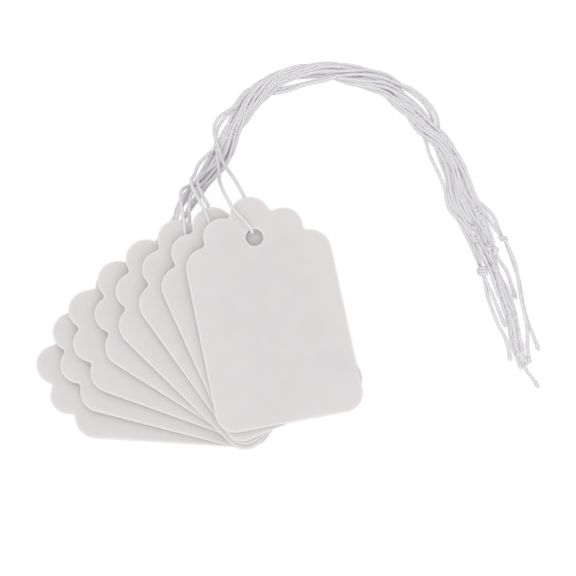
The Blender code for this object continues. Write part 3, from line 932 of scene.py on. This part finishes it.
def card_mesh(name, index):
    """A card lying flat about its hole, with its cut edge rounded as by a die."""
    outline = card_outline()
    half = CARD_THICKNESS / 2
    made = bmesh.new()
    rims = []
    for points in (outline, circle(HOLE_RADIUS, HOLE_SIDES)):
        rings = []
        for by, height in edge_profile():
            rings.append([made.verts.new((p.x, p.y, height)) for p in inset(points, by)])
        for lower, upper in zip(rings, rings[1:]):
            for k in range(len(points)):
                m = (k + 1) % len(points)
                made.faces.new((lower[k], upper[k], upper[m], lower[m]))
        rims.append((rings[0], rings[-1]))
    flat = [v.co.xy for rim in rims for v in rim[0]]
    size = len(rims[0][0])
    bounds = [list(range(size)), list(range(size, len(flat)))]
    edges = [(b[k], b[(k + 1) % len(b)]) for b in bounds for k in range(len(b))]
    border = [p.copy() for p in flat[:size]]
    spots, _, triangles, *_ = mathutils.geometry.delaunay_2d_cdt(
        flat + face_grid(border), edges, [], 0, SAME_PLACE
    )
    for side, height in ((0, -half), (1, half)):
        corners = [v for rim in rims for v in rim[side]]
        corners += [made.verts.new((p.x, p.y, height)) for p in spots[len(flat):]]
        for triangle in triangles:
            middle = sum((spots[k] for k in triangle), Vector((0, 0))) / 3
            if middle.length > HOLE_RADIUS + RIM_WIDTH and inside(middle, border):
                made.faces.new([corners[k] for k in (triangle if side else reversed(triangle))])
    for vertex in made.verts:
        vertex.co.z += curl(index, vertex.co)
    bmesh.ops.recalc_face_normals(made, faces=made.faces)
    mesh = bpy.data.meshes.new(name)
    made.to_mesh(mesh)
    made.free()
    mesh.shade_smooth()
    # mask of the cut edge, where the painted highlight goes
    edge = mesh.attributes.new("edge", "FLOAT", "POINT")
    shares = [edge_highlight_share(v.co.xy, outline) for v in mesh.vertices]
    edge.data.foreach_set("value", np.array(shares, np.float32))
    return mesh


def edge_highlight_share(point, outline):
    """1 on the card's cut edge and its hole's, 0 on its face: where the highlight is painted on the cut edge.
    """
    off = min(min((point - p).length for p in outline), abs(point.length - HOLE_RADIUS))
    return 1.0 if off < EDGE_REACH else 0.0


def add_card(index, finish):
    tag = f"tag_{len(CARDS) - index}"
    made = bpy.data.objects.new(f"{tag}_blank", card_mesh(f"{tag}_blank", index))
    made.data.materials.append(finish)
    bpy.context.scene.collection.objects.link(made)
    slope = -card_slope(index) * SPREAD
    tilt = Vector((0, 0, 1)).rotation_difference(Vector((slope.x, slope.y, 1)))
    hole = Vector((*hole_place(index), card_height(index, hole_place(index))))
    lean = Matrix.Rotation(math.radians(CARDS[index][0]), 4, "Z")
    made.data.transform(Matrix.Translation(hole) @ tilt.to_matrix().to_4x4() @ lean)
    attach(made, tag)
    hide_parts(f"{tag}_card")


def set_input(node, name, value):
    node.inputs[name].default_value = value


class Nodes:
    """A material's nodes, made and linked by name."""

    def __init__(self, name):
        self.material = bpy.data.materials.new(name)
        self.material.use_nodes = True
        self.tree = self.material.node_tree
        self.shader = self.tree.nodes["Principled BSDF"]

    def new(self, kind, **settings):
        made = self.tree.nodes.new(kind)
        for name, value in settings.items():
            setattr(made, name, value)
        return made

    def link(self, output, socket):
        self.tree.links.new(output, socket)

    def noise(self, coordinates, scale, detail, roughness):
        made = self.new("ShaderNodeTexNoise")
        set_input(made, "Scale", scale)
        set_input(made, "Detail", detail)
        set_input(made, "Roughness", roughness)
        self.link(coordinates, made.inputs["Vector"])
        return made.outputs["Fac"]

    def ranged(self, value, low, high, wanted_low, wanted_high):
        made = self.new("ShaderNodeMapRange")
        set_input(made, "From Min", low)
        set_input(made, "From Max", high)
        set_input(made, "To Min", wanted_low)
        set_input(made, "To Max", wanted_high)
        self.link(value, made.inputs["Value"])
        return made.outputs["Result"]

    def mixed(self, share, a, b):
        made = self.new("ShaderNodeMix", data_type="RGBA")
        self.link(share, made.inputs["Factor"])
        for socket, colour in ((made.inputs["A"], a), (made.inputs["B"], b)):
            if isinstance(colour, tuple):
                socket.default_value = (*colour, 1)
            else:
                self.link(colour, socket)
        return made.outputs["Result"]

    def bumped(self, height, strength, distance):
        made = self.new("ShaderNodeBump")
        set_input(made, "Strength", strength)
        set_input(made, "Distance", distance)
        self.link(height, made.inputs["Height"])
        return made.outputs["Normal"]


def shifted_place(nodes):
    """Where on its own piece a point is, moved along by the piece so that no two share a pattern."""
    place = nodes.new("ShaderNodeTexCoord")
    piece = nodes.new("ShaderNodeObjectInfo")
    moved = nodes.new("ShaderNodeVectorMath", operation="ADD")
    nodes.link(place.outputs["Object"], moved.inputs[0])
    nodes.link(piece.outputs["Random"], moved.inputs[1])
    return moved.outputs["Vector"]


def paper():
    nodes = Nodes("white_card")
    place = shifted_place(nodes)
    clouds = nodes.noise(place, CLOUDS, 2.0, 0.55)
    fibres = nodes.noise(place, FIBRES, 4.0, 0.65)
    tone = nodes.mixed(nodes.ranged(clouds, 0.3, 0.7, 0.0, 1.0), PAPER_SHADE, PAPER_LIGHT)
    tone = nodes.mixed(nodes.ranged(fibres, 0.35, 0.75, 0.0, 0.25), tone, PAPER_FIBRE)
    # painted highlight: the cut edge and the hole's edge are painted lighter
    edge = nodes.new("ShaderNodeAttribute", attribute_name="edge").outputs["Fac"]
    tone = nodes.mixed(nodes.ranged(edge, 0.0, 1.0, 0.0, 0.8), tone, PAPER_EDGE_HIGHLIGHT)
    nodes.link(tone, nodes.shader.inputs["Base Color"])
    nodes.link(nodes.ranged(fibres, 0.3, 0.7, 0.50, 0.62), nodes.shader.inputs["Roughness"])
    nodes.link(nodes.bumped(fibres, 0.10, FIBRE_HEIGHT), nodes.shader.inputs["Normal"])
    set_input(nodes.shader, "Specular IOR Level", 0.35)
    set_input(nodes.shader, "Subsurface Weight", 0.7)
    set_input(nodes.shader, "Subsurface Radius", (1.0, 0.9, 0.85))
    set_input(nodes.shader, "Subsurface Scale", 0.00035)
    return nodes.material


def twine():
    nodes = Nodes("white_twine")
    place = shifted_place(nodes)
    lint = nodes.noise(place, LINT, 3.0, 0.7)
    # painted shade: darker in the grooves between the plies, lighter on their crests
    crest = nodes.new("ShaderNodeAttribute", attribute_name="crest").outputs["Fac"]
    tone = nodes.mixed(nodes.ranged(crest, 0.0, 0.7, 0.0, 1.0), TWINE_GROOVE_PAINTED_SHADE, TWINE_CREST)
    tone = nodes.mixed(nodes.ranged(lint, 0.45, 0.75, 0.0, 0.5), tone, TWINE_LINT)
    nodes.link(tone, nodes.shader.inputs["Base Color"])
    nodes.link(nodes.bumped(lint, 0.25, LINT_HEIGHT), nodes.shader.inputs["Normal"])
    set_input(nodes.shader, "Roughness", 0.75)
    set_input(nodes.shader, "Subsurface Weight", 0.9)
    set_input(nodes.shader, "Subsurface Radius", (1.0, 1.0, 1.0))
    set_input(nodes.shader, "Subsurface Scale", 0.0002)
    set_input(nodes.shader, "Sheen Weight", 0.35)
    set_input(nodes.shader, "Sheen Roughness", 0.5)
    return nodes.material


def add_cards():
    finish = paper()
    for index in range(len(CARDS)):
        add_card(index, finish)


def add_strings():
    finish = twine()
    for index in range(len(CARDS)):
        tag = f"tag_{len(CARDS) - index}"
        knot, _ = add_tube(f"{tag}_twine_knot", knot_path(index), index, finish)
        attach(knot, "strings")
        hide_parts(f"{tag}_knot")
        loop, path = add_tube(f"{tag}_twine", string_path(index), index, finish)
        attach(loop, "strings")
        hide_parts(f"{tag}_string")


def add_floor():
    bpy.ops.mesh.primitive_plane_add(size=FLOOR_SIZE, location=(0, 0, 0))
    floor = bpy.context.object
    floor.name = "floor"
    made = bpy.data.materials.new("pale_floor")
    made.use_nodes = True
    nodes = made.node_tree.nodes
    links = made.node_tree.links
    nodes.clear()
    out = nodes.new("ShaderNodeOutputMaterial")
    ray = nodes.new("ShaderNodeLightPath")
    plain = nodes.new("ShaderNodeBsdfDiffuse")
    set_input(plain, "Color", FLOOR_TONE)
    shade = nodes.new("ShaderNodeBsdfDiffuse")
    set_input(shade, "Color", FLOOR_SEEN)
    glow = nodes.new("ShaderNodeEmission")
    set_input(glow, "Strength", FLOOR_GLOW)
    seen = nodes.new("ShaderNodeAddShader")
    links.new(shade.outputs[0], seen.inputs[0])
    links.new(glow.outputs[0], seen.inputs[1])
    either = nodes.new("ShaderNodeMath")
    either.operation = "MAXIMUM"
    links.new(ray.outputs["Is Camera Ray"], either.inputs[0])
    links.new(ray.outputs["Is Glossy Ray"], either.inputs[1])
    pick = nodes.new("ShaderNodeMixShader")
    links.new(either.outputs[0], pick.inputs["Fac"])
    links.new(plain.outputs[0], pick.inputs[1])
    links.new(seen.outputs[0], pick.inputs[2])
    links.new(pick.outputs[0], out.inputs["Surface"])
    floor.data.materials.append(made)


def add_world():
    world = bpy.data.worlds.new("studio")
    bpy.context.scene.world = world
    world.use_nodes = True
    nodes = world.node_tree.nodes
    links = world.node_tree.links
    nodes.clear()
    out = nodes.new("ShaderNodeOutputWorld")
    ray = nodes.new("ShaderNodeLightPath")
    soft = nodes.new("ShaderNodeBackground")
    set_input(soft, "Strength", WORLD_STRENGTH)
    set_input(soft, "Color", WORLD_COLOUR)
    white = nodes.new("ShaderNodeBackground")
    set_input(white, "Strength", WHITE_STRENGTH)
    pick = nodes.new("ShaderNodeMixShader")
    links.new(ray.outputs["Is Camera Ray"], pick.inputs["Fac"])
    links.new(soft.outputs[0], pick.inputs[1])
    links.new(white.outputs[0], pick.inputs[2])
    links.new(pick.outputs[0], out.inputs["Surface"])


def add_lamp(lamp):
    data = bpy.data.lights.new(lamp.name, "AREA")
    data.shape = "DISK"
    data.size = lamp.size
    data.energy = lamp.power
    data.color = LAMP_COLOUR
    made = bpy.data.objects.new(lamp.name, data)
    bpy.context.scene.collection.objects.link(made)
    made.location = lamp.place
    made.rotation_euler = (LAMP_TARGET - Vector(lamp.place)).to_track_quat("-Z", "Y").to_euler()


def add_camera():
    data = bpy.data.cameras.new("camera")
    data.sensor_fit = "HORIZONTAL"
    data.sensor_width = SENSOR_WIDTH
    data.lens = FOCAL_PIXELS / IMAGE_SIZE * SENSOR_WIDTH
    data.clip_start = CLIP_START
    made = bpy.data.objects.new("camera", data)
    bpy.context.scene.collection.objects.link(made)
    back = Vector((0, -math.cos(VIEW_ELEVATION), math.sin(VIEW_ELEVATION)))
    made.location = VIEW_TARGET + VIEW_DISTANCE * back
    made.rotation_euler = (math.pi / 2 - VIEW_ELEVATION, 0, 0)
    bpy.context.scene.camera = made


add_cards()
add_strings()
add_floor()
add_world()
for lamp in LAMPS:
    add_lamp(lamp)
add_camera()
bpy.context.scene.view_settings.view_transform = "Standard"
bpy.context.scene.cycles.max_bounces = MAX_BOUNCES
bpy.context.scene.cycles.diffuse_bounces = DIFFUSE_BOUNCES
